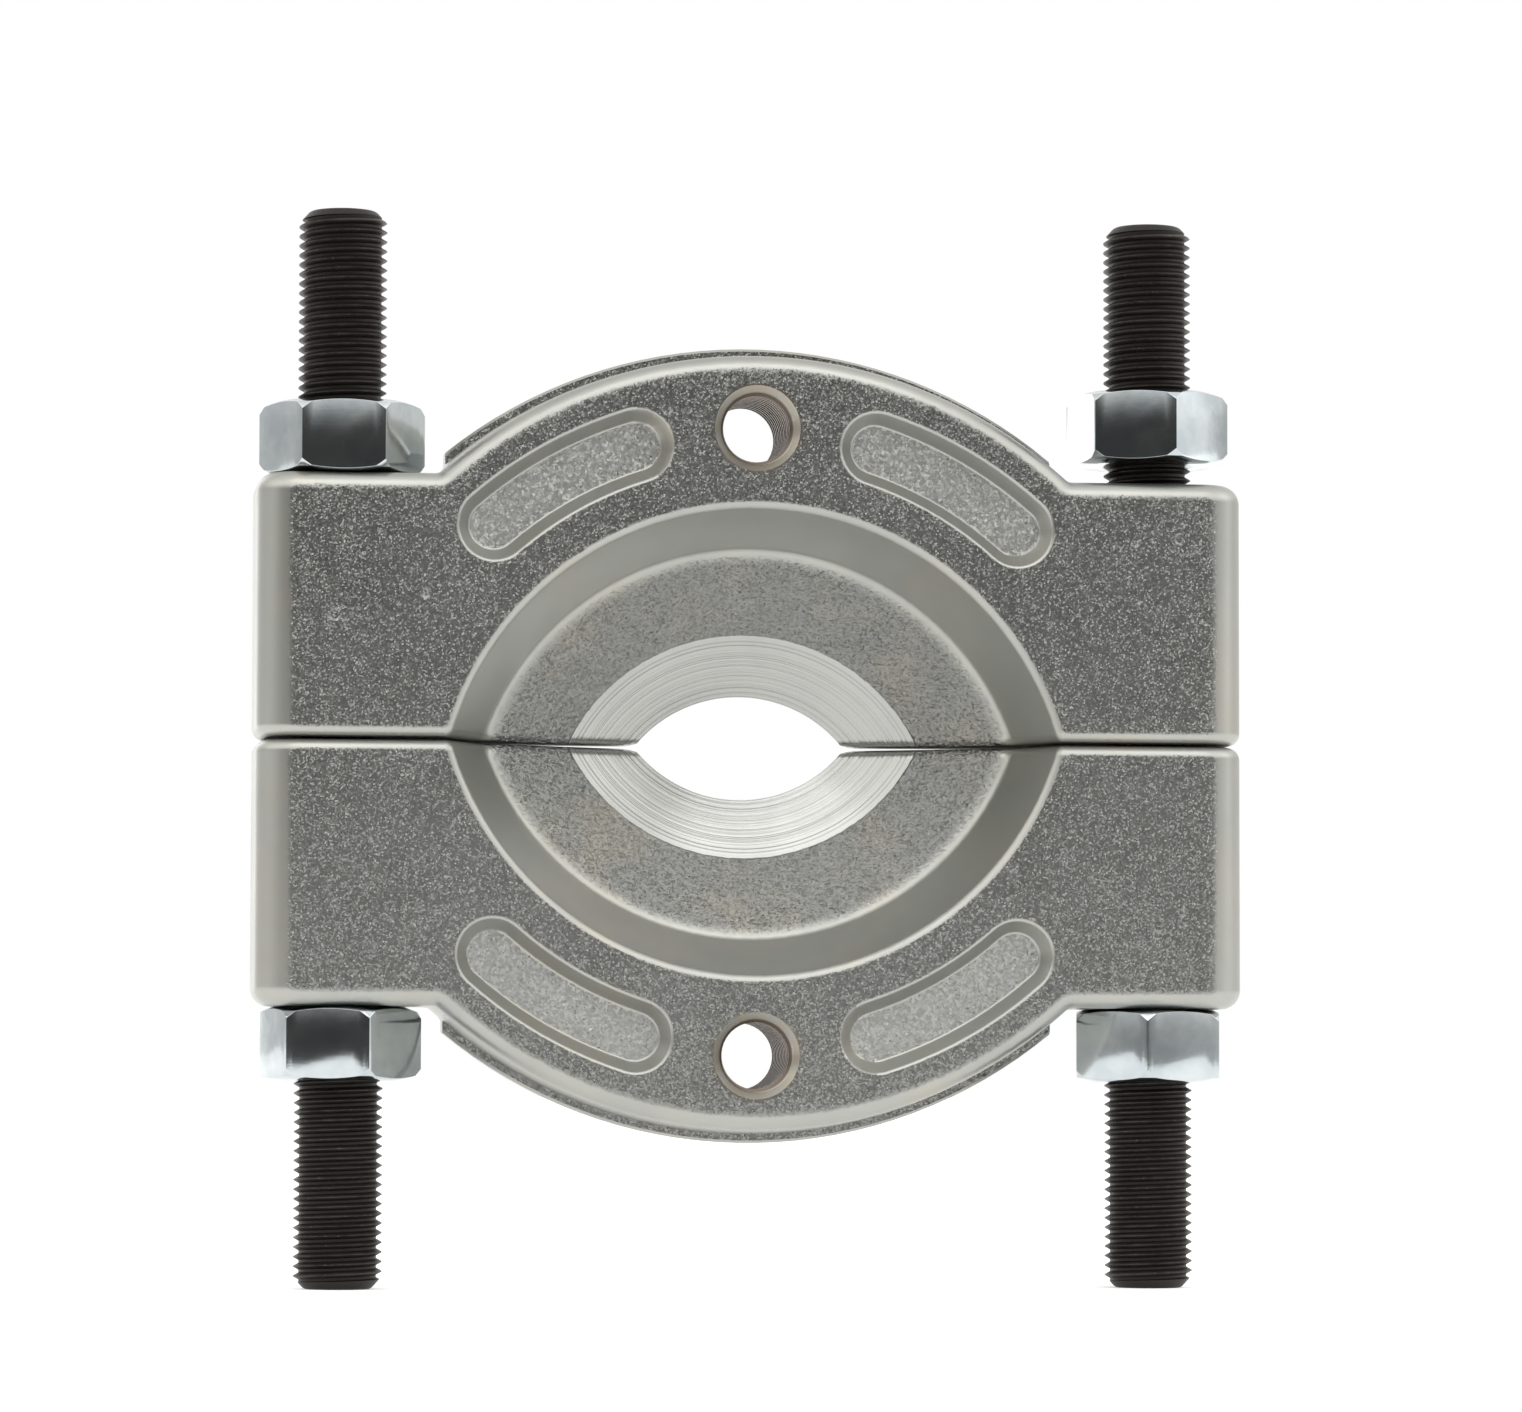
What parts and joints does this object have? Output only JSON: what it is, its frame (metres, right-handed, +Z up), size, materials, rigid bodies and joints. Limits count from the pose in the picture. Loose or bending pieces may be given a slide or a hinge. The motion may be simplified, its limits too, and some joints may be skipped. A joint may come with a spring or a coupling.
{
  "type": "bearing separator",
  "caption": "Split bearing separator: dished knife-edged half-plates clamped on all-thread studs by hexagon nuts, with tapped holes for a puller.",
  "frame": {"origin": "midway between the studs, on the plane that their lower ends stand on", "axes": "+X from the left stud to the right stud, +Y from the dished front to the flat back, +Z up along the studs"},
  "size_m": [0.1566, 0.0256, 0.1696],
  "materials": {
    "zinc_forging": "bright zinc plate on a grainy steel forging, with turned cones",
    "black_stud": "black oxide, lightly oiled thread",
    "zinc_nut": "blue-white zinc plate"
  },
  "bodies": {
    "studs": {"left_stud": "black_stud", "right_stud": "black_stud"},
    "upper_half": {"upper_half": "zinc_forging"},
    "lower_half": {"lower_half": "zinc_forging"},
    "upper_left_nut": {"upper_left_nut": "zinc_nut"},
    "upper_right_nut": {"upper_right_nut": "zinc_nut"},
    "lower_left_nut": {"lower_left_nut": "zinc_nut"},
    "lower_right_nut": {"lower_right_nut": "zinc_nut"}
  },
  "joints": [
    {"name": "upper_half_slide", "type": "slide", "parent": "studs", "child": "upper_half", "axis": [0, 0, 1], "range_m": [0, 0.026]},
    {"name": "lower_half_slide", "type": "slide", "parent": "studs", "child": "lower_half", "axis": [0, 0, -1], "range_m": [0, 0.03]},
    {"name": "upper_left_nut_turn", "type": "hinge", "parent": "upper_half", "child": "upper_left_nut", "pos_m": [-0.06451, 0, 0.134], "axis": [0, 0, 1], "range_deg": [0, 6240]},
    {"name": "upper_right_nut_turn", "type": "hinge", "parent": "upper_half", "child": "upper_right_nut", "pos_m": [0.06451, 0, 0.136], "axis": [0, 0, 1], "range_deg": [0, 6240]},
    {"name": "lower_left_nut_turn", "type": "hinge", "parent": "lower_half", "child": "lower_left_nut", "pos_m": [-0.06451, 0, 0.038], "axis": [0, 0, -1], "range_deg": [0, 7200]},
    {"name": "lower_right_nut_turn", "type": "hinge", "parent": "lower_half", "child": "lower_right_nut", "pos_m": [0.06451, 0, 0.038], "axis": [0, 0, -1], "range_deg": [0, 7200]}
  ],
  "couplings": [
    {"joint": "upper_left_nut_turn", "follows": "upper_half_slide", "rad_per_m": 4188.8},
    {"joint": "upper_right_nut_turn", "follows": "upper_half_slide", "rad_per_m": 4188.8},
    {"joint": "lower_left_nut_turn", "follows": "lower_half_slide", "rad_per_m": 4188.8},
    {"joint": "lower_right_nut_turn", "follows": "lower_half_slide", "rad_per_m": 4188.8}
  ]
}
